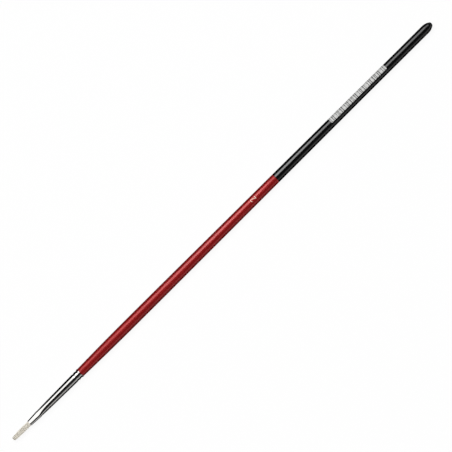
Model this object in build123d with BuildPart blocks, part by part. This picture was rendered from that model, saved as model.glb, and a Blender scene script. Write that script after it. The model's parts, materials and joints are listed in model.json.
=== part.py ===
"""Long-handled flat hog-bristle artist's brush, in millimetres.

The brush lies along X on the ground plane Z = 0: bristle tip at -X, butt of the handle at +X,
the flat faces of the bristles and of the ferrule's nose looking up and down. The origin is on
the ground under the middle of the overall length.

Stations along the ferrule are distances from its handle end towards the mouth ("depth").
Every profile of the handle and of the ferrule is drawn by one function with an inset, so that
the coat, the wood, the metal, the glue and the buried bristles share their meeting surfaces.
"""

import math
import os

from build123d import *

os.makedirs("parts", exist_ok=True)

# ---- Driving sizes -------------------------------------------------------------------------

# Lengths along the brush
overall_length = 300.0
bristle_length = 11.6  # showing, from the mouth of the ferrule to the tip
ferrule_length = 36.6
red_length = 140.1  # of red handle showing, from the ferrule to the black
belly_swell = 35.8  # from the ferrule to the start of the full belly
belly_land = 20.0  # cylinder at the belly
butt_land = 40.0  # cylinder at the end of the handle
butt_nose = 4.6  # rounded end
butt_tip_radius = 1.5  # of the ball that closes it

# Diameters over the lacquer
neck_diameter = 4.80
belly_diameter = 5.66
butt_diameter = 4.90
neck_strips = 4  # turned strips that round the swell from the ferrule to the belly
nose_strips = 4  # and the side of the rounded end
coat = 0.16  # thickness of the lacquer

# Ferrule: a drawn tube of thin metal
ferrule_wall = 0.20
ferrule_back_diameter = 4.80  # of the plain cone, at the handle end
ferrule_taper = 0.034  # loss of diameter for each millimetre of depth
bead_width = 0.70
bead_rise = 0.15  # of the bead's crown over the cone
bead_lip_rise = 0.07  # of the very end over the cone
groove_depth = 0.17
groove_width = 1.60
groove_first = 1.50  # depth of the first groove's middle
groove_pitch = 1.95
groove_count = 2
crimp_strips = 4  # turned strips that round the bead, and each groove
press_length = 8.0  # stretch over which the tube is pressed from round to flat
nose_length = 7.2  # flat nose, from the crease to the mouth
crease_length = 0.5  # over which the tube steps out and in at the crease
crown_angle = 28.0  # half angle of the round tube that becomes the flat face
press_stages = 4

# Outside of the tube where it is flat: width across Y, thickness along Z
crease_width = 3.65
crease_thickness = 2.50
nose_width = 3.95
nose_thickness = 2.30
mouth_width = 3.10
mouth_thickness = 1.95

# Inside the ferrule
tenon_gap = 2.85  # of air between the tenon's end and the setting glue
tenon_chamfer = 0.5
glue_film = 0.06
film_start = 4.6  # depth past the grooves where the film between tube and tenon begins
plug_length = 3.5  # of the setting glue
plug_dish = 0.6  # depth of the dish in its handle side
plug_floor = 2.2  # diameter of the dish's flat middle
root_length = 14.5  # of buried bristle behind the slice that carries the strands
packing_gap = 0.03  # between the buried bristles and the tube
slice_length = 1.5  # of the bonded slice that carries the strands
slice_recess = 0.25  # of that slice behind the mouth

# Bristles
strand_pitch = 0.109
strand_sides = 3
strand_root = 0.050  # radius over a strand's corners where it leaves the slice
strand_tip = 0.026
strand_embed = 0.30  # of each strand in the slice
full_share = 0.70  # of the showing length that stays as wide as the mouth's bore
full_width_scale = 1.00
full_thickness_scale = 0.92
tip_width_scale = 0.73
tip_thickness_scale = 0.66
tip_ragged = 0.30  # longest shortfall of a strand at the cut
tip_corner_drop = 0.45  # shortfall at the two edges of the cut

# ---- Places that follow from them ----------------------------------------------------------

tip_x = -overall_length / 2
butt_x = overall_length / 2
mouth_x = tip_x + bristle_length
ferrule_x = mouth_x + ferrule_length  # handle end of the ferrule
belly_x = ferrule_x + belly_swell
waist_x = belly_x + belly_land
nose_x = butt_x - butt_nose
butt_land_x = nose_x - butt_land
colour_x = ferrule_x + red_length
axis_z = belly_diameter / 2

crease_depth = ferrule_length - nose_length
press_depth = crease_depth - press_length
slice_depth = ferrule_length - slice_recess - slice_length
root_depth = slice_depth - root_length
plug_depth = root_depth - plug_length
tenon_depth = plug_depth - tenon_gap
film_end = tenon_depth - tenon_chamfer
tenon_inset = ferrule_wall + glue_film
bristle_inset = ferrule_wall + packing_gap

SPINE = Plane.XY.offset(axis_z)
BRUSH_AXIS = Axis((0, 0, axis_z), (1, 0, 0))


def across(x):
    """The plane across the brush at x, with its first axis along Y and its second along Z."""
    return Plane(origin=(x, 0, axis_z), x_dir=(0, 1, 0), z_dir=(1, 0, 0))


def at_depth(depth):
    """The x of a station on the ferrule."""
    return ferrule_x - depth


def cone_radius(depth):
    """Outer radius of the plain, unpressed tube."""
    return (ferrule_back_diameter - ferrule_taper * depth) / 2


# ---- Profiles ------------------------------------------------------------------------------


def shares(count):
    """The shares of a length at which a number of equal strips start and end."""
    return [step / count for step in range(count + 1)]


def strips(points):
    """Straight edges through the points, each of which turns into a strip of its own."""
    for start, end in zip(points, points[1:]):
        Bezier(start, end)


def nose_line(butt, inset):
    """The rounded end: a curve off the cylinder of radius butt, then the ball of the tip."""
    ball = butt_tip_radius - inset
    ball_x = butt_x - butt_tip_radius
    side = ((ball_x - nose_x) ** 2 + butt**2 - ball**2) / (2 * (butt - ball))
    lean = math.atan2(side - butt, ball_x - nose_x)
    meeting_angle = math.pi / 2 - lean
    turns = [s * meeting_angle for s in shares(nose_strips)]
    strips([(nose_x + side * math.sin(t), butt - side * (1 - math.cos(t))) for t in turns])
    meeting = (ball_x + ball * math.cos(lean), ball * math.sin(lean))
    halfway = (ball_x + ball * math.cos(lean / 2), ball * math.sin(lean / 2))
    ThreePointArc(meeting, halfway, (butt_x - inset, 0))


def handle_line(inset):
    """The handle's outline from the ferrule to the butt, an inset below the lacquer's surface."""
    neck = neck_diameter / 2 - inset
    belly = belly_diameter / 2 - inset
    butt = butt_diameter / 2 - inset
    strips([(belly_x - belly_swell * s, belly - (belly - neck) * s**2) for s in shares(neck_strips)])
    Line((belly_x, belly), (waist_x, belly))
    strips([(waist_x, belly), (butt_land_x, butt)])
    Line((butt_land_x, butt), (nose_x, butt))
    nose_line(butt, inset)


def crimp_points(inset):
    """Points on the tube's outline over the bead and the grooves, from its handle end."""
    rises = [
        (bead_width * s, bead_lip_rise * (1 - s) * (1 - 2 * s) + 4 * bead_rise * s * (1 - s))
        for s in shares(crimp_strips)
    ]
    for number in range(groove_count):
        start = groove_first + number * groove_pitch - groove_width / 2
        rises += [
            (start + groove_width * s, -groove_depth * (1 - math.cos(2 * math.pi * s)) / 2)
            for s in shares(crimp_strips)
        ]
    return [(at_depth(depth), cone_radius(depth) + rise - inset) for depth, rise in rises]


def cone_point(depth, inset):
    """A point on the plain, unpressed tube's outline."""
    return (at_depth(depth), cone_radius(depth) - inset)


# ---- The ferrule's form --------------------------------------------------------------------


def tube_section(depth, half_width, half_thickness, half_flat, crown):
    """A section of the tube: a face of half_flat each way that bulges by crown, and round sides."""
    shoulder = half_thickness - crown
    with BuildSketch(across(at_depth(depth))) as section:
        with BuildLine():
            for side in (1, -1):
                if crown > 0:
                    ThreePointArc(
                        (-half_flat, side * shoulder),
                        (0, side * half_thickness),
                        (half_flat, side * shoulder),
                    )
                else:
                    Line((-half_flat, side * shoulder), (half_flat, side * shoulder))
                for way in (1, -1):
                    TangentArc(
                        (way * half_width, 0), (way * half_flat, side * shoulder), tangent=(0, side)
                    )
        make_face()
    return section.sketch


def pressed_section(share, inset):
    """A section of the stretch that goes from round, at share 0, to flat, at share 1."""
    depth = press_depth + share * press_length
    radius = cone_radius(depth) - inset
    pressed = share**2
    half_width = radius + pressed * (crease_width / 2 - cone_radius(crease_depth))
    half_thickness = radius + pressed * (crease_thickness / 2 - cone_radius(crease_depth))
    round_flat = radius * math.sin(math.radians(crown_angle))
    round_crown = radius * (1 - math.cos(math.radians(crown_angle)))
    half_flat = round_flat + share * ((crease_width - crease_thickness) / 2 - round_flat)
    return tube_section(depth, half_width, half_thickness, half_flat, (1 - share) * round_crown)


def nose_section(depth, width, thickness, inset):
    """A section of the flat nose: two straight faces and two half-round edges."""
    half_flat = (width - thickness) / 2
    return tube_section(depth, width / 2 - inset, thickness / 2 - inset, half_flat, 0)


def ferrule_form(inset):
    """The whole form of the ferrule as a solid, an inset below its outer skin."""
    with BuildPart() as form:
        with BuildSketch(SPINE):
            with BuildLine():
                crimped = crimp_points(inset)
                strips(crimped)
                Polyline(
                    crimped[-1],
                    cone_point(press_depth, inset),
                    (at_depth(press_depth), 0),
                    (ferrule_x, 0),
                    crimped[0],
                )
            make_face()
        revolve(axis=BRUSH_AXIS)
        pressed = [pressed_section(share, inset) for share in shares(press_stages)]
        loft(pressed, ruled=True)
        crease = nose_section(crease_depth, crease_width, crease_thickness, inset)
        shoulder = nose_section(crease_depth + crease_length, nose_width, nose_thickness, inset)
        mouth = nose_section(ferrule_length, mouth_width, mouth_thickness, inset)
        loft([crease, shoulder], ruled=True)
        loft([shoulder, mouth], ruled=True)
    return form.part


def buried(inset, near_depth, far_depth):
    """The piece of the ferrule's form between two depths."""
    with BuildPart() as piece:
        add(ferrule_form(inset))
        split(bisect_by=across(at_depth(near_depth)), keep=Keep.BOTTOM)
        split(bisect_by=across(at_depth(far_depth)), keep=Keep.TOP)
    return piece.part


# ---- Handle --------------------------------------------------------------------------------

# One turned hardwood stick, with the tenon that the crimps are rolled into. The tenon fills the
# tube under the bead and the grooves, and beyond them it leaves room for the film of glue
with BuildPart() as handle_core:
    with BuildSketch(SPINE):
        with BuildLine():
            handle_line(coat)
            crimped = crimp_points(ferrule_wall) + [cone_point(film_start, ferrule_wall)]
            strips([(ferrule_x, neck_diameter / 2 - coat)] + crimped)
            glued = [cone_point(film_start, tenon_inset), cone_point(film_end, tenon_inset)]
            strips([crimped[-1]] + glued)
            Polyline(
                glued[-1],
                cone_point(tenon_depth, tenon_inset + tenon_chamfer),
                (at_depth(tenon_depth), 0),
                (butt_x - coat, 0),
            )
        make_face()
    revolve(axis=BRUSH_AXIS)


def lacquer_coat():
    """The skin over the whole handle, both colours."""
    with BuildPart() as skin:
        with BuildSketch(SPINE):
            with BuildLine():
                handle_line(0)
                handle_line(coat)
                Line((ferrule_x, neck_diameter / 2), (ferrule_x, neck_diameter / 2 - coat))
                Line((butt_x, 0), (butt_x - coat, 0))
            make_face()
        revolve(axis=BRUSH_AXIS)
    return skin.part


with BuildPart() as red_lacquer:
    add(lacquer_coat())
    split(bisect_by=across(colour_x), keep=Keep.BOTTOM)

with BuildPart() as black_lacquer:
    add(lacquer_coat())
    split(bisect_by=across(colour_x), keep=Keep.TOP)

# ---- Ferrule and what fills it -------------------------------------------------------------

with BuildPart() as ferrule:
    add(ferrule_form(0))
    add(ferrule_form(ferrule_wall), mode=Mode.SUBTRACT)

# The film between the tenon and the plain cone of the tube
with BuildPart() as tenon_glue:
    with BuildSketch(SPINE):
        with BuildLine():
            outer = [cone_point(film_start, ferrule_wall), cone_point(film_end, ferrule_wall)]
            inner = [cone_point(film_end, tenon_inset), cone_point(film_start, tenon_inset)]
            strips(outer + inner + outer[:1])
        make_face()
    revolve(axis=BRUSH_AXIS)

# The plug of resin behind the roots, dished on the handle side where it crept up the wall
with BuildPart() as setting_glue:
    add(buried(ferrule_wall, plug_depth, root_depth))
    with BuildSketch(SPINE):
        with BuildLine():
            rim = cone_point(plug_depth, ferrule_wall)
            floor_x = at_depth(plug_depth + plug_dish)
            Polyline(rim, (floor_x, plug_floor / 2), (floor_x, 0), (at_depth(plug_depth), 0), rim)
        make_face()
    revolve(axis=BRUSH_AXIS, mode=Mode.SUBTRACT)

with BuildPart() as bristle_roots:
    add(buried(bristle_inset, root_depth, slice_depth))

# ---- Bristle tuft --------------------------------------------------------------------------

strand_start_x = mouth_x + slice_recess + strand_embed
full_x = mouth_x - full_share * bristle_length


def strand_places():
    """Places of the strands across the mouth, in offset rows that fill its half-round ended slot."""
    edge = bristle_inset + strand_root
    half_flat = (mouth_width - mouth_thickness) / 2
    end_radius = mouth_thickness / 2 - edge
    row_pitch = strand_pitch * math.sqrt(3) / 2
    rows = int(end_radius / row_pitch)
    for row in range(-rows, rows + 1):
        z = row * row_pitch
        half_row = half_flat + math.sqrt(end_radius**2 - z**2)
        offset = strand_pitch / 2 if row % 2 else 0
        columns = int((half_row - offset) / strand_pitch)
        for column in range(-columns - (1 if row % 2 else 0), columns + 1):
            yield offset + column * strand_pitch, z


def strand(y, z, shortfall):
    """One bristle with flat sides. All of them draw together by the same scales, so none cross."""
    stations = (
        (strand_start_x, 1, 1, strand_root),
        (full_x, full_width_scale, full_thickness_scale, (strand_root + strand_tip) / 2),
        (tip_x + shortfall, tip_width_scale, tip_thickness_scale, strand_tip),
    )
    turns = [2 * math.pi * corner / strand_sides for corner in range(strand_sides)]
    rings = []
    for x, width_scale, thickness_scale, radius in stations:
        middle_y = y * width_scale
        middle_z = axis_z + z * thickness_scale
        rings.append(
            [(x, middle_y + radius * math.sin(t), middle_z + radius * math.cos(t)) for t in turns]
        )
    outlines = [rings[0], rings[-1]]
    for near, far in zip(rings, rings[1:]):
        outlines += [
            (near[corner - 1], near[corner], far[corner], far[corner - 1])
            for corner in range(strand_sides)
        ]
    return Solid(Shell([Face(Wire.make_polygon(outline)) for outline in outlines]))


def cut_shortfall(number, y):
    """How far a strand ends short of the tip: uneven along the cut, and more at its two edges."""
    golden = (math.sqrt(5) - 1) / 2
    ragged = tip_ragged * (number * golden % 1)
    return ragged + tip_corner_drop * abs(2 * y / (mouth_width - 2 * bristle_inset)) ** 4


strands = [strand(y, z, cut_shortfall(n, y)) for n, (y, z) in enumerate(strand_places())]
with BuildPart() as bristle_tuft:
    add(buried(bristle_inset, slice_depth, ferrule_length - slice_recess))
    add(strands)
print(f"strands: {len(strands)}")

# ---- Export --------------------------------------------------------------------------------

pieces = {
    "handle_core": handle_core,
    "red_lacquer": red_lacquer,
    "black_lacquer": black_lacquer,
    "ferrule": ferrule,
    "tenon_glue": tenon_glue,
    "setting_glue": setting_glue,
    "bristle_roots": bristle_roots,
    "bristle_tuft": bristle_tuft,
}
for label, piece in pieces.items():
    piece.part.label = label
    export_step(piece.part, f"parts/{label}.step")
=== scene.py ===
import json
import math
import random

import bpy
from mathutils import Matrix, Vector

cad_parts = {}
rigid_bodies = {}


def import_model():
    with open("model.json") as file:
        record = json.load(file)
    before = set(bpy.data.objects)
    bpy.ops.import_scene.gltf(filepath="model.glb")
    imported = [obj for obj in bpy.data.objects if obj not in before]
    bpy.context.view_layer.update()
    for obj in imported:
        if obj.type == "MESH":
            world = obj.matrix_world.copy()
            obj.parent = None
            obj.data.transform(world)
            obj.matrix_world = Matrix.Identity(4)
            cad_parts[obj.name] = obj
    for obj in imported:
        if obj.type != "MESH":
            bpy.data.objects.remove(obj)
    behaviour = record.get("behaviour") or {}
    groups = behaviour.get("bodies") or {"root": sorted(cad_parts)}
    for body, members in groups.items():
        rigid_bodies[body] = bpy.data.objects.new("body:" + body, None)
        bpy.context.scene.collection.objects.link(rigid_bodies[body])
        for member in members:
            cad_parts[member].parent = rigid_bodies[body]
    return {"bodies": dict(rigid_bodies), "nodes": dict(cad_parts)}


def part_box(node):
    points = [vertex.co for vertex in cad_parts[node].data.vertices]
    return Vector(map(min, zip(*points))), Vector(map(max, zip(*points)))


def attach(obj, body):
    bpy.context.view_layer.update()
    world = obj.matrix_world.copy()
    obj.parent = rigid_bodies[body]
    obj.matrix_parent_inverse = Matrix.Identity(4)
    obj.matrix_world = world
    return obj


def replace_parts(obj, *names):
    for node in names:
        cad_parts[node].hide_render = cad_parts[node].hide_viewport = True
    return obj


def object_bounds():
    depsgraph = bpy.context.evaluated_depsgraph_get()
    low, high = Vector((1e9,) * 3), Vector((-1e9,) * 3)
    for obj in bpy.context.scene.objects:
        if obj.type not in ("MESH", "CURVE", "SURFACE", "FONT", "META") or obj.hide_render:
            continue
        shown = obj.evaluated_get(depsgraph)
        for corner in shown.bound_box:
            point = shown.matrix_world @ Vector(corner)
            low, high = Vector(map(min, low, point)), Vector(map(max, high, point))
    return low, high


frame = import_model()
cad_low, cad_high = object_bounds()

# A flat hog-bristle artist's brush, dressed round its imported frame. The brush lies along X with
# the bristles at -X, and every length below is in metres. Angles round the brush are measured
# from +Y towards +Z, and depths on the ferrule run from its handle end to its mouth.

MM = 0.001
BODY = next(iter(frame["bodies"]))

ferrule_low, ferrule_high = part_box("ferrule")
red_low, red_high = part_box("red_lacquer")
AXIS_Z = (red_low.z + red_high.z) / 2
FERRULE_X = ferrule_high.x
MOUTH_X = ferrule_low.x
TIP_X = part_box("bristle_tuft")[0].x
COLOUR_X = red_high.x
BUTT_X = cad_high.x

# ---- Reading of the photograph -----------------------------------------------------------------

PHOTO_SIDE = 452  # pixels
BRUSH_CENTRE_PX = (222.45, 231.3)
BRUSH_LENGTH_PX = 590
BRUSH_ROLL = math.radians(44.85)  # of +X, above the photograph's horizontal
VIEW_LEAN = math.radians(16)  # of the camera from straight above, towards -Y
LENS = 150.0  # millimetres

# ---- Sizes of the dressed pieces ---------------------------------------------------------------

# The handle's and the ferrule's main sizes are those of the solids that the pieces stand for.

# Handle, over the lacquer
NECK_RADIUS = 2.40 * MM
BELLY_RADIUS = 2.83 * MM
BUTT_RADIUS = 2.45 * MM
BELLY_SWELL = 35.8 * MM
BELLY_LAND = 20.0 * MM
BUTT_LAND = 40.0 * MM
BUTT_NOSE = 4.6 * MM
BUTT_TIP_RADIUS = 1.5 * MM
COAT = 0.16 * MM
COAT_ROUND = 0.06 * MM  # on a coat's edges
COAT_EDGE = 3 * COAT_ROUND  # from a coat's end to its first plain ring
DIP_RISE = 0.025 * MM  # of the black coat's first edge over the red
DIP_FADE = 1.6 * MM  # over which that rise dies away
BELLY_X = FERRULE_X + BELLY_SWELL
WAIST_X = BELLY_X + BELLY_LAND
BUTT_NOSE_X = BUTT_X - BUTT_NOSE
BUTT_LAND_X = BUTT_NOSE_X - BUTT_LAND

# Ferrule, outside of the tube
BACK_RADIUS = 2.40 * MM
TAPER = 0.017  # loss of radius for each unit of depth
BEAD_WIDTH = 0.70 * MM
BEAD_RISE = 0.15 * MM
LIP_RISE = 0.07 * MM
GROOVE_DEPTH = 0.17 * MM
GROOVE_WIDTH = 1.60 * MM
GROOVE_MIDDLES = (1.50 * MM, 3.45 * MM)
PRESS_LENGTH = 8.0 * MM
NOSE_LENGTH = 7.2 * MM
CREASE_LENGTH = 0.5 * MM
CROWN_ANGLE = math.radians(28)
NO_CROWN = 1e-6 * MM  # a crown lower than this is flat
CREASE_SIZE = (3.65 * MM, 2.50 * MM)  # width along Y, thickness along Z
NOSE_SIZE = (3.95 * MM, 2.30 * MM)
MOUTH_SIZE = (3.10 * MM, 1.95 * MM)
NOSE_CRISPNESS = 1.25  # of the nose's flats, which over 1 end in a faint edge, not a tangent
WALL = 0.20 * MM
LIP_ROUND = 0.05 * MM  # on the rims of both ends
FERRULE_LENGTH = FERRULE_X - MOUTH_X
CREASE_DEPTH = FERRULE_LENGTH - NOSE_LENGTH
PRESS_DEPTH = CREASE_DEPTH - PRESS_LENGTH

# Bristles
HAIR_PITCH = 0.092 * MM
HAIR_NUDGE = 0.008 * MM
HAIR_RADIUS = 0.045 * MM
HAIR_TIP_RADIUS = 0.028 * MM
HAIR_THICKNESSES = (0.82, 1.06)  # shares of those radii, from the thinnest hair to the thickest
HAIR_ROOT_DEPTH = 0.9 * MM  # of each hair's start behind the mouth
HAIR_WAVE = 0.028 * MM
HAIR_SLOT = (MOUTH_SIZE[0] / 2 - WALL, MOUTH_SIZE[1] / 2 - WALL)  # half sizes of the mouth's bore
TUFT_LENGTH = MOUTH_X - TIP_X
TIP_WIDTH_SCALE = 0.73
TIP_THICKNESS_SCALE = 0.66
WIDTH_HOLD = 4.0  # powers of the way out by which the tuft's width and thickness draw in
THICKNESS_HOLD = 2.8
TUFT_BULGE = 0.07  # share by which it swells once it is out of the ferrule
TIP_RAGGED = 0.32 * MM
TIP_CORNER_DROP = 0.45 * MM
TIP_CORNER_HOLD = 4  # power of the way across by which the tip's corners drop
ROOT_SEED = 11
HAIR_SEED = 23

# Prints on the lacquer
INK = 0.012 * MM  # thickness over the lacquer
INK_SUNK = 0.02 * MM  # of a print's underside in the lacquer
FIELD_START_X = 78.2 * MM
FIELD_END_X = 117.4 * MM
FIELD_ANGLES = (math.radians(-6), math.radians(112))
LIGHT_BARS = (0.40 * MM, 1.7 * MM)  # narrowest and widest
LIGHT_BAR_LEAN = 1.6  # over 1, more of them are narrow than wide
DARK_BARS = (0.20 * MM, 0.48 * MM)
DARK_BAR_START = 0.3  # share of the dark bars' rhythm at the first one
FIGURE_X = 22.5 * MM
FIGURE_ANGLE = math.radians(94)
FIGURE_HEIGHT = 3.2 * MM
FIGURE_WIDTH = 1.6 * MM
FIGURE_STROKE = 0.26 * MM
FIGURE_BOW = (math.radians(165), math.radians(-38))  # from its first end over the top to the waist
FIGURE_HEEL = 0.6 * FIGURE_STROKE  # of the slanting stroke's end from the figure's left

# Fineness of the meshes: points round a ring, and steps along each stretch
COAT_POINTS = 84
EDGE_STEPS = 4
SWELL_STEPS = 20
TAPER_STEPS = 6
DIP_STEPS = 8
BUTT_STEPS = 28
TUBE_QUARTER = 24  # steps round a quarter of the tube
TUBE_FLAT = 8  # those of them over half of its flat
CRIMP_STEPS = 44
BACK_STEPS = 10
PRESS_STEPS = 32
CREASE_STEPS = 12
NOSE_STEPS = 14
RIM_STEPS = 8
HAIR_SIDES = 6
HAIR_STEPS = 9
BAR_STEPS = 24
BOW_STEPS = 18
STROKE_STEPS = 8
FOOT_STEPS = 6
STROKE_ROWS = 2


# ---- Meshes ------------------------------------------------------------------------------------


def placed(name, data):
    """A new object of the scene that shows the data."""
    made = bpy.data.objects.new(name, data)
    bpy.context.scene.collection.objects.link(made)
    return made


def piece(name, points, faces, materials, smooth=True):
    """A mesh object that rides on the brush, with the materials it is given."""
    mesh = bpy.data.meshes.new(name)
    mesh.from_pydata(points, [], faces)
    mesh.validate()
    for material in materials:
        mesh.materials.append(material)
    mesh.polygons.foreach_set("use_smooth", [smooth] * len(mesh.polygons))
    made = placed(name, mesh)
    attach(made, BODY)
    return made


def joined(rings):
    """The points of all the rings, one ring after another."""
    return [point for ring in rings for point in ring]


def skin(rings, closed=False):
    """Faces between rings of as many points each, as a band, or as a closed hoop of rings."""
    count = len(rings[0])
    faces = []
    for ring in range(len(rings) if closed else len(rings) - 1):
        near = ring * count
        far = (ring + 1) % len(rings) * count
        for point in range(count):
            after = (point + 1) % count
            faces.append((near + point, near + after, far + after, far + point))
    return faces


def add_mesh(points, faces, more_points, more_faces):
    """Add one mesh's points and faces to the lists that hold another's."""
    first = len(points)
    points.extend(more_points)
    faces.extend(tuple(first + corner for corner in face) for face in more_faces)


def steps(count):
    """The shares of a length at the ends of a number of equal steps."""
    return [step / count for step in range(count + 1)]


def smooth_step(share):
    """A share that leaves 0 and reaches 1 without a corner."""
    share = min(max(share, 0), 1)
    return share * share * (3 - 2 * share)


def mix(start, end, share):
    """The value at a share of the way from start to end."""
    return start + (end - start) * share


# ---- Materials ---------------------------------------------------------------------------------

NOISE_LOW = 0.3  # most of a noise's values lie between these two
NOISE_HIGH = 0.7


class Finish:
    """A material on one Principled shader, and the textures that drive it."""

    def __init__(self, name, **sockets):
        self.material = bpy.data.materials.new(name)
        self.material.use_nodes = True
        self.tree = self.material.node_tree
        self.shader = self.tree.nodes["Principled BSDF"]
        for socket, value in sockets.items():
            self.shader.inputs[socket.replace("_", " ").title()].default_value = value
        self.place = self.tree.nodes.new("ShaderNodeTexCoord").outputs["Object"]

    def link(self, output, socket):
        self.tree.links.new(output, socket)

    def noise(self, grain, stretch=(1, 1, 1), detail=3.0):
        """Noise with features about grain long, drawn out along the axes by the stretch."""
        mapping = self.tree.nodes.new("ShaderNodeMapping")
        mapping.inputs["Scale"].default_value = [1 / (grain * s) for s in stretch]
        noise = self.tree.nodes.new("ShaderNodeTexNoise")
        noise.inputs["Scale"].default_value = 1.0
        noise.inputs["Detail"].default_value = detail
        self.link(self.place, mapping.inputs["Vector"])
        self.link(mapping.outputs["Vector"], noise.inputs["Vector"])
        return noise.outputs["Fac"]

    def ramp(self, value, stops):
        """A colour from a value, by two or three stops of (value, (red, green, blue))."""
        ramp = self.tree.nodes.new("ShaderNodeValToRGB")
        elements = ramp.color_ramp.elements
        if len(stops) > len(elements):
            elements.new(stops[1][0])
        for element, (position, colour) in zip(elements, stops):
            element.position = position
            element.color = (*colour, 1)
        self.link(value, ramp.inputs["Fac"])
        return ramp.outputs["Color"]

    def spread(self, noise, low, high):
        """A noise's values carried to run from low to high."""
        spread = self.tree.nodes.new("ShaderNodeMapRange")
        spread.inputs["From Min"].default_value = NOISE_LOW
        spread.inputs["From Max"].default_value = NOISE_HIGH
        spread.inputs["To Min"].default_value = low
        spread.inputs["To Max"].default_value = high
        self.link(noise, spread.inputs["Value"])
        return spread.outputs["Result"]

    def colour(self, output):
        self.link(output, self.shader.inputs["Base Color"])

    def roughness(self, output):
        self.link(output, self.shader.inputs["Roughness"])

    def bump(self, height, distance):
        bump = self.tree.nodes.new("ShaderNodeBump")
        bump.inputs["Distance"].default_value = distance
        self.link(height, bump.inputs["Height"])
        self.link(bump.outputs["Normal"], self.shader.inputs["Normal"])


def lacquer(name, dark, light, depth, clear, polish):
    """Dipped gloss lacquer with a faint drift of colour and the least orange peel.

    depth is how far its highlights take its own colour, clear the share of clear gloss over
    that, and polish its least and greatest roughness.
    """
    made = Finish(name, metallic=depth, coat_weight=clear, coat_roughness=0.12)
    drift = made.noise(2.2 * MM, stretch=(9, 1, 1))
    made.colour(made.ramp(drift, [(NOISE_LOW, dark), (NOISE_HIGH, light)]))
    made.roughness(made.spread(made.noise(1.1 * MM, stretch=(4, 1, 1)), *polish))
    made.bump(made.noise(0.8 * MM, stretch=(3, 1, 1), detail=1.0), distance=0.0025 * MM)
    return made.material


def nickel():
    """Polished nickel plate, with the fine lines that turning left round the tube."""
    made = Finish("nickel", metallic=1.0)
    lines = made.noise(0.05 * MM, stretch=(1, 40, 40))
    cloud = made.noise(3.0 * MM)
    tones = [(NOISE_LOW, (0.66, 0.65, 0.63)), (NOISE_HIGH, (0.74, 0.73, 0.71))]
    made.colour(made.ramp(cloud, tones))
    made.roughness(made.spread(cloud, 0.06, 0.10))
    made.bump(lines, distance=0.0003 * MM)
    return made.material


def wood():
    """Pale close-grained hardwood."""
    made = Finish("birch", roughness=0.6)
    grain = made.noise(0.35 * MM, stretch=(40, 1, 1))
    tones = [(NOISE_LOW, (0.42, 0.26, 0.13)), (NOISE_HIGH, (0.62, 0.44, 0.26))]
    made.colour(made.ramp(grain, tones))
    made.bump(grain, distance=0.02 * MM)
    return made.material


def resin():
    """Amber setting resin."""
    made = Finish("resin", roughness=0.3, transmission_weight=0.3)
    tones = [(NOISE_LOW, (0.30, 0.13, 0.03)), (NOISE_HIGH, (0.45, 0.22, 0.06))]
    made.colour(made.ramp(made.noise(0.6 * MM), tones))
    return made.material


def bristle():
    """Bleached hog bristle: pale ivory, hair by hair, with a silky sheen."""
    made = Finish("hog_bristle", sheen_weight=0.15, sheen_roughness=0.4)
    hairs = made.noise(0.07 * MM, stretch=(60, 1, 1), detail=2.0)
    tones = [(NOISE_LOW, (0.70, 0.65, 0.55)), (0.5, (0.78, 0.74, 0.65))]
    tones += [(NOISE_HIGH, (0.84, 0.81, 0.73))]
    made.colour(made.ramp(hairs, tones))
    made.roughness(made.spread(hairs, 0.38, 0.55))
    return made.material


def ink(name, colour, worn):
    """Screened ink with slightly uneven cover."""
    made = Finish(name)
    cover = made.noise(0.25 * MM)
    made.colour(made.ramp(cover, [(NOISE_LOW, worn), (0.6, colour)]))
    made.roughness(made.spread(cover, 0.35, 0.5))
    return made.material


RED = lacquer(
    "red_gloss",
    dark=(0.27, 0.0045, 0.0045),
    light=(0.325, 0.0075, 0.0075),
    depth=0.44,
    clear=0.5,
    polish=(0.32, 0.42),
)
BLACK = lacquer(
    "black_gloss",
    dark=(0.002, 0.002, 0.002),
    light=(0.003, 0.003, 0.003),
    depth=0.0,
    clear=0.6,
    polish=(0.14, 0.20),
)
NICKEL = nickel()
WOOD = wood()
RESIN = resin()
BRISTLE = bristle()
WHITE_INK = ink("white_ink", (0.53, 0.53, 0.52), (0.46, 0.46, 0.45))
DARK_INK = ink("dark_ink", (0.05, 0.05, 0.05), (0.09, 0.09, 0.09))
CREAM_INK = ink("cream_ink", (0.80, 0.70, 0.56), (0.70, 0.58, 0.45))

CAD_FINISHES = {
    "handle_core": WOOD,
    "red_lacquer": RED,
    "black_lacquer": BLACK,
    "ferrule": NICKEL,
    "tenon_glue": RESIN,
    "setting_glue": RESIN,
    "bristle_roots": BRISTLE,
    "bristle_tuft": BRISTLE,
}
for node, finish in CAD_FINISHES.items():
    frame["nodes"][node].material_slots[0].material = finish


# ---- Handle ------------------------------------------------------------------------------------


def handle_radius(x, inset=0.0):
    """Radius over the lacquer, or an inset below it.

    From the ferrule to the butt: swell, belly, taper, cylinder and a rounded end, which is an
    arc of a large circle that runs out into a ball.
    """
    if x < BELLY_X:
        return mix(BELLY_RADIUS, NECK_RADIUS, ((BELLY_X - x) / BELLY_SWELL) ** 2) - inset
    if x < BUTT_NOSE_X:
        share = (x - WAIST_X) / (BUTT_LAND_X - WAIST_X)
        return mix(BELLY_RADIUS, BUTT_RADIUS, min(max(share, 0), 1)) - inset
    ball_x = BUTT_X - BUTT_TIP_RADIUS
    drop = BUTT_RADIUS - BUTT_TIP_RADIUS
    side = ((ball_x - BUTT_NOSE_X) ** 2 + BUTT_RADIUS**2 - BUTT_TIP_RADIUS**2) / (2 * drop)
    lean = math.atan2(side - BUTT_RADIUS, ball_x - BUTT_NOSE_X)
    ball = BUTT_TIP_RADIUS - inset
    if x < ball_x + ball * math.cos(lean):
        return BUTT_RADIUS - side + math.sqrt((side - inset) ** 2 - (x - BUTT_NOSE_X) ** 2)
    return math.sqrt(max(ball**2 - (x - ball_x) ** 2, 0))


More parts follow.
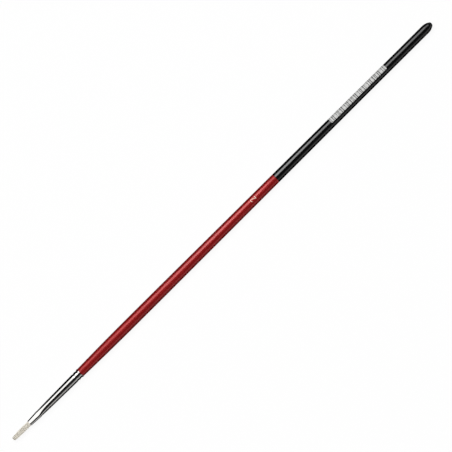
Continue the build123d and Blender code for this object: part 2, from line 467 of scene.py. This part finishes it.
def coat_ring(x, radius):
    """A ring of points round the handle's axis."""
    turns = [math.tau * point / COAT_POINTS for point in range(COAT_POINTS)]
    return [(x, radius * math.cos(turn), AXIS_Z + radius * math.sin(turn)) for turn in turns]


def rounded_edge(x, way, radius):
    """Rings over the edge of a coat that runs on along way, from its inner side to its outer."""
    rings = [coat_ring(x, radius - COAT)]
    for turn in (math.pi / 2 * s for s in steps(EDGE_STEPS)):
        along = COAT_ROUND * (1 - math.sin(turn))
        rings.append(coat_ring(x + way * along, radius - COAT_ROUND * (1 - math.cos(turn))))
    return rings


def red_coat():
    """A sleeve from the ferrule to the colour change."""
    rings = rounded_edge(FERRULE_X, 1, handle_radius(FERRULE_X))
    xs = [mix(FERRULE_X, BELLY_X, s) for s in steps(SWELL_STEPS)[1:]]
    xs += [mix(WAIST_X, COLOUR_X, s) for s in steps(TAPER_STEPS)[:-1]]
    plain = [FERRULE_X + COAT_EDGE] + xs + [COLOUR_X - COAT_EDGE]
    rings += [coat_ring(x, handle_radius(x)) for x in plain]
    rings += reversed(rounded_edge(COLOUR_X, -1, handle_radius(COLOUR_X)))
    rings += [coat_ring(x, handle_radius(x, COAT)) for x in reversed(xs)]
    return piece("red_coat", joined(rings), skin(rings, closed=True), [RED])


def black_coat():
    """A cup over the butt. Its first edge stands proud, as the black is dipped over the red."""
    outside = rounded_edge(COLOUR_X, 1, handle_radius(COLOUR_X) + DIP_RISE)
    for s in steps(DIP_STEPS)[1:]:
        x = COLOUR_X + COAT_ROUND + s * DIP_FADE
        outside.append(coat_ring(x, handle_radius(x) + DIP_RISE * (1 - smooth_step(s))))
    bends = [mix(COLOUR_X, BUTT_LAND_X, s) for s in steps(TAPER_STEPS)[1:]] + [BUTT_NOSE_X]
    ends = [BUTT_NOSE * math.sin(math.pi / 2 * s) for s in steps(BUTT_STEPS)[1:-1]]
    outer_xs = bends + [BUTT_NOSE_X + end for end in ends]
    outside += [coat_ring(x, handle_radius(x)) for x in outer_xs]
    inner_xs = [COLOUR_X] + bends + [BUTT_NOSE_X + end * (1 - COAT / BUTT_NOSE) for end in ends]
    inside = [coat_ring(x, handle_radius(x, COAT)) for x in inner_xs]
    rings = list(reversed(inside)) + outside
    points = joined(rings)
    faces = skin(rings)
    for pole_x, last, way in ((BUTT_X - COAT, 0, -1), (BUTT_X, len(points) - COAT_POINTS, 1)):
        for point in range(COAT_POINTS):
            corners = (last + point, last + (point + 1) % COAT_POINTS, len(points))
            faces.append(corners[::way])
        points.append((pole_x, 0, AXIS_Z))
    return piece("black_coat", points, faces, [BLACK])


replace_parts(red_coat(), "red_lacquer")
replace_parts(black_coat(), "black_lacquer")


# ---- Ferrule -----------------------------------------------------------------------------------


def crimp_rise(depth):
    """Height over the plain cone: the bead at the tube's end, and two soft grooves beside it."""
    rise = 0.0
    if depth < BEAD_WIDTH:
        s = depth / BEAD_WIDTH
        rise = LIP_RISE * (1 - s) * (1 - 2 * s) + 4 * BEAD_RISE * s * (1 - s)
    for middle in GROOVE_MIDDLES:
        off = abs(depth - middle) / (GROOVE_WIDTH / 2)
        if off < 1:
            rise -= GROOVE_DEPTH * (1 + math.cos(math.pi * off)) / 2
    return rise


def tube_shape(depth):
    """Half width, half thickness, half of the flat and the crown's height, at a depth."""
    radius = BACK_RADIUS - TAPER * depth + crimp_rise(depth)
    if depth <= CREASE_DEPTH:
        share = max(0, (depth - PRESS_DEPTH) / PRESS_LENGTH)
        crease_radius = BACK_RADIUS - TAPER * CREASE_DEPTH
        round_flat = radius * math.sin(CROWN_ANGLE)
        round_crown = radius * (1 - math.cos(CROWN_ANGLE))
        return (
            radius + share**2 * (CREASE_SIZE[0] / 2 - crease_radius),
            radius + share**2 * (CREASE_SIZE[1] / 2 - crease_radius),
            mix(round_flat, (CREASE_SIZE[0] - CREASE_SIZE[1]) / 2, share),
            mix(round_crown, 0, share),
        )
    stepped = smooth_step((depth - CREASE_DEPTH) / CREASE_LENGTH)
    run = (depth - CREASE_DEPTH - CREASE_LENGTH) / (NOSE_LENGTH - CREASE_LENGTH)
    drawn = [mix(nose, mouth, max(0, run)) for nose, mouth in zip(NOSE_SIZE, MOUTH_SIZE)]
    width, thickness = [mix(crease, size, stepped) for crease, size in zip(CREASE_SIZE, drawn)]
    return width / 2, thickness / 2, (width - thickness) / 2, 0.0


def quarter(half_width, half_thickness, half_flat, crown, crispness):
    """Points from the middle of the upper face round to the side, both ends included."""
    shoulder = half_thickness - crown
    side_width = half_width - half_flat
    side_radius = (side_width**2 + shoulder**2) / (2 * side_width)
    side_turn = math.atan2(shoulder, side_radius - side_width)
    outline = []
    for s in steps(TUBE_FLAT)[:-1]:
        y = half_flat * s
        drop = 0.0
        if crown > NO_CROWN:
            crown_radius = (half_flat**2 + crown**2) / (2 * crown)
            drop = crown_radius - math.sqrt(crown_radius**2 - y**2)
        outline.append((y, half_thickness - drop))
    for s in steps(TUBE_QUARTER - TUBE_FLAT):
        turn = side_turn * (1 - s)
        out = side_radius * max(0, math.cos(turn)) ** crispness
        outline.append((half_width - side_radius + out, side_radius * math.sin(turn) ** crispness))
    return outline


def tube_ring(depth, inset):
    """The ring of points round the tube at a depth, an inset below its outer skin."""
    half_width, half_thickness, half_flat, crown = tube_shape(depth)
    crispness = mix(1, NOSE_CRISPNESS, smooth_step((depth - CREASE_DEPTH) / CREASE_LENGTH))
    right = quarter(half_width - inset, half_thickness - inset, half_flat, crown, crispness)
    upper = right + [(y, -z) for y, z in reversed(right[:-1])]
    outline = upper + [(-y, z) for y, z in reversed(upper[1:-1])]
    return [(FERRULE_X - depth, y, AXIS_Z + z) for y, z in outline]


def tube_depths():
    """Depths of the rings between the rims: close where the tube is crimped or pressed."""
    stretches = [
        (GROOVE_MIDDLES[-1] + GROOVE_WIDTH / 2, CRIMP_STEPS),
        (PRESS_DEPTH, BACK_STEPS),
        (CREASE_DEPTH, PRESS_STEPS),
        (CREASE_DEPTH + CREASE_LENGTH, CREASE_STEPS),
        (FERRULE_LENGTH, NOSE_STEPS),
    ]
    depths = [0.0]
    for end, count in stretches:
        start = depths[-1]
        depths += [mix(start, end, s) for s in steps(count)[1:]]
    return [LIP_ROUND] + depths[1:-1] + [FERRULE_LENGTH - LIP_ROUND]


def rim(depth, way):
    """The rounded edge of the wall at an end, from the outer skin to the inner one."""
    rings = []
    for turn in (math.pi * s for s in steps(RIM_STEPS)[1:-1]):
        inset = WALL / 2 * (1 - math.cos(turn))
        rings.append(tube_ring(depth + way * LIP_ROUND * (1 - math.sin(turn)), inset))
    return rings


def ferrule():
    """The tube as one hoop of rings: outer skin, rim of the mouth, inner skin, first rim."""
    depths = tube_depths()
    rings = [tube_ring(depth, 0) for depth in depths]
    rings += rim(FERRULE_LENGTH, -1)
    rings += [tube_ring(depth, WALL) for depth in reversed(depths)]
    rings += reversed(rim(0, 1))
    faces = skin(rings, closed=True)
    return piece("nickel_ferrule", joined(rings), faces, [NICKEL])


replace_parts(ferrule(), "ferrule")


# ---- Bristles ----------------------------------------------------------------------------------


def hair_roots():
    """Places of the hairs across the mouth's bore: rows that fill it, each place a little off."""
    draw = random.Random(ROOT_SEED)
    flat = HAIR_SLOT[0] - HAIR_SLOT[1]
    end_radius = HAIR_SLOT[1] - HAIR_RADIUS
    row_pitch = HAIR_PITCH * math.sqrt(3) / 2
    rows = int(end_radius / row_pitch)
    for row in range(-rows, rows + 1):
        z = row * row_pitch
        turn = math.acos(min(1, abs(z / end_radius) ** (1 / NOSE_CRISPNESS)))
        half_row = flat + end_radius * math.sin(turn) ** NOSE_CRISPNESS
        spaces = int(2 * half_row / HAIR_PITCH) // 2 * 2 - row % 2  # even and odd by turns
        for place in steps(spaces):
            y = half_row * (2 * place - 1)
            nudge_y = draw.uniform(-HAIR_NUDGE, HAIR_NUDGE)
            nudge_z = draw.uniform(-HAIR_NUDGE, HAIR_NUDGE)
            yield y + nudge_y, z + nudge_z


def hair(y, z, draw):
    """Rings of one bristle from its tip to its root: stiff, tapered, with a slow bow of its own."""
    across = abs(y / HAIR_SLOT[0])
    shortfall = TIP_RAGGED * draw.random() + TIP_CORNER_DROP * across**TIP_CORNER_HOLD
    start_x = MOUTH_X + HAIR_ROOT_DEPTH
    end_x = TIP_X + shortfall
    thick = draw.uniform(*HAIR_THICKNESSES)
    bow = draw.uniform(-1, 1), draw.uniform(-1, 1)
    phase = draw.uniform(0, math.tau)
    turns = [phase + math.tau * side / HAIR_SIDES for side in range(HAIR_SIDES)]
    rings = []
    for share in reversed(steps(HAIR_STEPS)):
        x = mix(start_x, end_x, share)
        out = max(0, (MOUTH_X - x) / TUFT_LENGTH)
        wave = HAIR_WAVE * math.sin(math.pi * out) * out
        swell = TUFT_BULGE * math.sin(math.pi * out)
        centre_y = y * (swell + mix(1, TIP_WIDTH_SCALE, out**WIDTH_HOLD)) + wave * bow[0]
        centre_z = z * (swell + mix(1, TIP_THICKNESS_SCALE, out**THICKNESS_HOLD)) + wave * bow[1]
        centre_z += AXIS_Z
        radius = thick * mix(HAIR_RADIUS, HAIR_TIP_RADIUS, out**2)
        rings.append(
            [(x, centre_y + radius * math.cos(t), centre_z + radius * math.sin(t)) for t in turns]
        )
    return rings


def bristle_tuft():
    """All the bristles, each a closed mesh of its own."""
    draw = random.Random(HAIR_SEED)
    points = []
    faces = []
    for y, z in hair_roots():
        rings = hair(y, z, draw)
        hair_points = joined(rings)
        tip = tuple(reversed(range(HAIR_SIDES)))
        root = tuple(range(len(hair_points) - HAIR_SIDES, len(hair_points)))
        add_mesh(points, faces, hair_points, skin(rings) + [tip, root])
    return piece("hog_bristles", points, faces, [BRISTLE])


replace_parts(bristle_tuft(), "bristle_tuft")


# ---- Prints ------------------------------------------------------------------------------------


def on_lacquer(x, angle, lift):
    """The point at an angle round the handle, a lift over its lacquer."""
    radius = handle_radius(x) + lift
    return x, radius * math.cos(angle), AXIS_Z + radius * math.sin(angle)


def print_patch(columns, rows, place):
    """Points and faces of a thin closed print over a grid.

    place gives the (x, angle) on the handle of a grid's corner from its shares of the way along
    the columns and the rows.
    """
    points = []
    for lift in (INK, -INK_SUNK):
        for column in steps(columns):
            for row in steps(rows):
                points.append(on_lacquer(*place(column, row), lift))
    under = (columns + 1) * (rows + 1)

    def at(column, row):
        return column * (rows + 1) + row

    faces = []
    for column in range(columns):
        for row in range(rows):
            left = [at(column, row), at(column, row + 1)]
            right = [at(column + 1, row), at(column + 1, row + 1)]
            cell = (left[0], right[0], right[1], left[1])
            faces.append(cell[::-1])
            faces.append(tuple(under + corner for corner in cell))
    edge = [at(column, 0) for column in range(columns)]
    edge += [at(columns, row) for row in range(rows)]
    edge += [at(column, rows) for column in range(columns, 0, -1)]
    edge += [at(0, row) for row in range(rows, 0, -1)]
    for near, far in zip(edge, edge[1:] + edge[:1]):
        faces.append((near, far, under + far, under + near))
    return points, faces


def bar_edges():
    """Edges of the field's bars, light and dark by turns, in a rhythm that codes nothing."""
    golden = (math.sqrt(5) - 1) / 2
    edges = [FIELD_START_X]
    number = 0
    while edges[-1] < FIELD_END_X - LIGHT_BARS[1]:
        light = (number * golden % 1) ** LIGHT_BAR_LEAN
        dark = (DARK_BAR_START + 2 * number * golden) % 1
        edges.append(edges[-1] + mix(*LIGHT_BARS, light))
        edges.append(edges[-1] + mix(*DARK_BARS, dark))
        number += 1
    return edges + [FIELD_END_X]


def bar_place(start, end):
    """The place for print_patch of one bar of the field."""
    return lambda along, around: (mix(start, end, along), mix(*FIELD_ANGLES, around))


def striped_field():
    """The field of white bars with narrow dark ones between them, which meet edge to edge."""
    points = []
    faces = []
    dark_faces = set()
    edges = bar_edges()
    for number, (start, end) in enumerate(zip(edges, edges[1:])):
        first = len(faces)
        add_mesh(points, faces, *print_patch(1, BAR_STEPS, bar_place(start, end)))
        if number % 2:
            dark_faces.update(range(first, len(faces)))
    inks = [WHITE_INK, DARK_INK]
    made = piece("striped_field", points, faces, inks, smooth=False)
    for face in made.data.polygons:
        face.material_index = 1 if face.index in dark_faces else 0
    return made


def figure_place(across, up):
    """The place on the handle of a point of the figure, whose head is towards the bristles."""
    turn = (0.5 - across) * FIGURE_WIDTH / handle_radius(FIGURE_X)
    return FIGURE_X + (0.5 - up) * FIGURE_HEIGHT, FIGURE_ANGLE + turn


def size_figure():
    """The figure two: a bow and its stroke down to the foot in one patch, the foot in another."""
    half = FIGURE_STROKE / 2
    bow_radius = FIGURE_WIDTH / 2 - half
    bow_middle = Vector((FIGURE_WIDTH / 2, FIGURE_HEIGHT - FIGURE_WIDTH / 2))
    line = []
    for turn in (mix(*FIGURE_BOW, s) for s in steps(BOW_STEPS)):
        way = Vector((math.cos(turn), math.sin(turn)))
        line.append((bow_middle + bow_radius * way, way))
    waist = line[-1][0]
    foot = Vector((FIGURE_HEEL, half))
    fall = (foot - waist).normalized()
    side_way = Vector((-fall.y, fall.x))
    line += [(waist.lerp(foot, s), side_way) for s in steps(STROKE_STEPS)[1:]]
    sides = [(at + half * way, at - half * way) for at, way in line]

    def along_line(along, around):
        outer, inner = sides[round(along * (len(sides) - 1))]
        at = outer.lerp(inner, around)
        return figure_place(at.x / FIGURE_WIDTH, at.y / FIGURE_HEIGHT)

    def along_foot(along, around):
        return figure_place(along, (1 - around) * FIGURE_STROKE / FIGURE_HEIGHT)

    points, faces = print_patch(len(sides) - 1, STROKE_ROWS, along_line)
    add_mesh(points, faces, *print_patch(FOOT_STEPS, STROKE_ROWS, along_foot))
    return piece("size_figure", points, faces, [CREAM_INK], smooth=False)


striped_field()
size_figure()


# ---- Stage -------------------------------------------------------------------------------------

BACK = Vector((0, -math.sin(VIEW_LEAN), math.cos(VIEW_LEAN)))  # from the brush to the camera
ALONG = Vector((1, 0, 0))
ACROSS = BACK.cross(ALONG)

# Strip lamps that only gloss sees. The key's layers make its middle brighter than its ends.
STRIP_DISTANCE = 0.8
KEY_ANGLE = math.radians(43.5)
KEY_WIDTH = 0.62
KEY_GAP = 0.01  # between the layers
KEY_LAYERS = (  # length, radiance and place along the brush
    (2.2, 1.45, 0.0),
    (0.40, 1.2, 0.09),
    (0.16, 1.9, 0.04),
)
SIDE_ANGLE = math.radians(-56)
SIDE_SIZE = (2.2, 0.48)
SIDE_RADIANCE = 0.17

# The one broad lamp that lights everything and that gloss doesn't see
FRONT_ANGLE = math.radians(20)
FRONT_DISTANCE = 1.4
FRONT_SIZE = (1.8, 1.8)
FRONT_RADIANCE = 3.0

FLOOR_REACH = 6.0
FLOOR_SHADE = 0.9
FLOOR_GLOW = 0.90  # share of plain white in what the camera and gloss see of it
SKY_PALE = (0.13, 0.85)  # height of the horizon's last pale band, and its shade
SKY_DARK = (0.24, 0.012)  # height of the first dark one, and its shade

# Cards beside the brush
CARD_REACH = 1.2  # each way along the brush, and out to the far side
CARD_HEIGHT = 0.32
CARD_LIFT = 0.3 * MM  # over the floor
CARD_GAP = 1 * MM  # from the brush's middle
BLACK_EDGE = 9 * MM  # out to which the near side is black
GREY_EDGE = 0.70  # and out to which it is grey
CARD_BLACK = 0.004
CARD_GREY = 0.08


def view_matrix(back, across):
    """A rotation whose Z is back and whose Y is across, for a camera or a lamp."""
    return Matrix((across.cross(back), across, back)).transposed().to_4x4()


def camera():
    """The camera that sees the brush where the photograph has it."""
    data = bpy.data.cameras.new("camera")
    data.lens = LENS
    made = placed("camera", data)
    up = math.sin(BRUSH_ROLL) * ALONG + math.cos(BRUSH_ROLL) * ACROSS
    right = up.cross(BACK)
    pixel = (cad_high.x - cad_low.x) / BRUSH_LENGTH_PX
    distance = PHOTO_SIDE * pixel / 2 / (data.sensor_width / 2 / LENS)
    middle = Vector(((cad_low.x + cad_high.x) / 2, 0, AXIS_Z))
    aim = middle - (BRUSH_CENTRE_PX[0] - PHOTO_SIDE / 2) * pixel * right
    aim -= (PHOTO_SIDE / 2 - BRUSH_CENTRE_PX[1]) * pixel * up
    made.matrix_world = Matrix.Translation(aim + distance * BACK) @ view_matrix(BACK, up)
    bpy.context.scene.camera = made


def softbox(name, angle, distance, size, radiance, along=0.0, diffuse=True, glossy=True):
    """A lamp that faces the brush, at an angle across it from the line of sight.

    along moves it along the brush, and diffuse and glossy say what it is seen by.
    """
    back = math.cos(angle) * BACK + math.sin(angle) * ACROSS
    data = bpy.data.lights.new(name, "AREA")
    data.shape = "RECTANGLE"
    data.size, data.size_y = size
    data.energy = radiance * math.pi * size[0] * size[1]
    made = placed(name, data)
    place = Matrix.Translation(distance * back + along * ALONG)
    made.matrix_world = place @ view_matrix(back, back.cross(ALONG))
    made.visible_camera = False
    made.visible_diffuse = diffuse
    made.visible_glossy = glossy


def matt(name, shade):
    """A grey without gloss."""
    material = bpy.data.materials.new(name)
    material.use_nodes = True
    shader = material.node_tree.nodes["Principled BSDF"]
    shader.inputs["Base Color"].default_value = (shade, shade, shade, 1)
    shader.inputs["Roughness"].default_value = 1.0
    shader.inputs["Specular IOR Level"].default_value = 0.0
    return material


def stage_piece(name, points, faces, material):
    """A mesh object of the scene that doesn't ride on the brush."""
    mesh = bpy.data.meshes.new(name)
    mesh.from_pydata(points, [], faces)
    mesh.materials.append(material)
    made = placed(name, mesh)
    return made


def floor():
    """A pale floor that takes shadows, and that the camera and gloss see as nearly white."""
    material = matt("floor_white", FLOOR_SHADE)
    material.cycles.emission_sampling = "NONE"  # its glow lights nothing
    tree = material.node_tree
    path = tree.nodes.new("ShaderNodeLightPath")
    seen = path.outputs["Is Camera Ray"]
    for kind in ("Is Glossy Ray", "Is Transmission Ray"):
        either = tree.nodes.new("ShaderNodeMath")
        either.operation = "MAXIMUM"
        tree.links.new(seen, either.inputs[0])
        tree.links.new(path.outputs[kind], either.inputs[1])
        seen = either.outputs[0]
    share = tree.nodes.new("ShaderNodeMath")
    share.operation = "MULTIPLY"
    share.inputs[1].default_value = FLOOR_GLOW
    tree.links.new(seen, share.inputs[0])
    glow = tree.nodes.new("ShaderNodeEmission")
    glow.inputs["Color"].default_value = (1, 1, 1, 1)
    blend = tree.nodes.new("ShaderNodeMixShader")
    tree.links.new(share.outputs[0], blend.inputs["Fac"])
    tree.links.new(tree.nodes["Principled BSDF"].outputs[0], blend.inputs[1])
    tree.links.new(glow.outputs[0], blend.inputs[2])
    tree.links.new(blend.outputs[0], tree.nodes["Material Output"].inputs["Surface"])
    corners = [(-1, -1), (1, -1), (1, 1), (-1, 1)]
    points = [(FLOOR_REACH * x, FLOOR_REACH * y, 0) for x, y in corners]
    stage_piece("floor", points, [(0, 1, 2, 3)], material)


def world():
    """Pale near the horizon, dark overhead, so that metal shows lamps between dark bands."""
    made = bpy.data.worlds.new("studio")
    bpy.context.scene.world = made
    made.use_nodes = True
    made.cycles.sampling_method = "NONE"  # dim and even, so it is left to stray rays
    tree = made.node_tree
    place = tree.nodes.new("ShaderNodeTexCoord")
    parts = tree.nodes.new("ShaderNodeSeparateXYZ")
    ramp = tree.nodes.new("ShaderNodeValToRGB")
    for element, (height, shade) in zip(ramp.color_ramp.elements, (SKY_PALE, SKY_DARK)):
        element.position = height
        element.color = (shade, shade, shade, 1)
    tree.links.new(place.outputs["Generated"], parts.inputs[0])
    tree.links.new(parts.outputs["Z"], ramp.inputs["Fac"])
    tree.links.new(ramp.outputs["Color"], tree.nodes["Background"].inputs["Color"])


def card(name, outline, shade):
    """A long matt card beside the brush, seen only in its gloss; outline is its (y, z) points."""
    points = [(x, y, z) for x in (-CARD_REACH, CARD_REACH) for y, z in outline]
    count = len(outline)
    faces = [(n, n + 1, n + 1 + count, n + count) for n in range(count - 1)]
    made = stage_piece(name, points, faces, matt(name, shade))
    made.visible_camera = False
    made.visible_diffuse = False
    made.visible_shadow = False


def cards():
    """Black cards outline the gloss darkly on both sides, and a grey one lights its near edge."""
    far = [(CARD_GAP, CARD_LIFT), (CARD_REACH, CARD_LIFT), (CARD_REACH, CARD_HEIGHT)]
    card("far_black_card", far, CARD_BLACK)
    near = [(-y, CARD_LIFT) for y in (CARD_GAP, BLACK_EDGE, GREY_EDGE)]
    card("near_black_card", near[:2], CARD_BLACK)
    card("near_grey_card", near[1:], CARD_GREY)


def lamps():
    """The key's layers and the side strip for gloss, and the front lamp for all else."""
    for number, (length, radiance, along) in enumerate(KEY_LAYERS):
        distance = STRIP_DISTANCE - KEY_GAP * number
        size = (length, KEY_WIDTH)
        softbox(f"key_{number}", KEY_ANGLE, distance, size, radiance, along, diffuse=False)
    softbox("side", SIDE_ANGLE, STRIP_DISTANCE, SIDE_SIZE, SIDE_RADIANCE, diffuse=False)
    softbox("front", FRONT_ANGLE, FRONT_DISTANCE, FRONT_SIZE, FRONT_RADIANCE, glossy=False)


camera()
floor()
cards()
world()
lamps()
bpy.context.scene.view_settings.view_transform = "Standard"
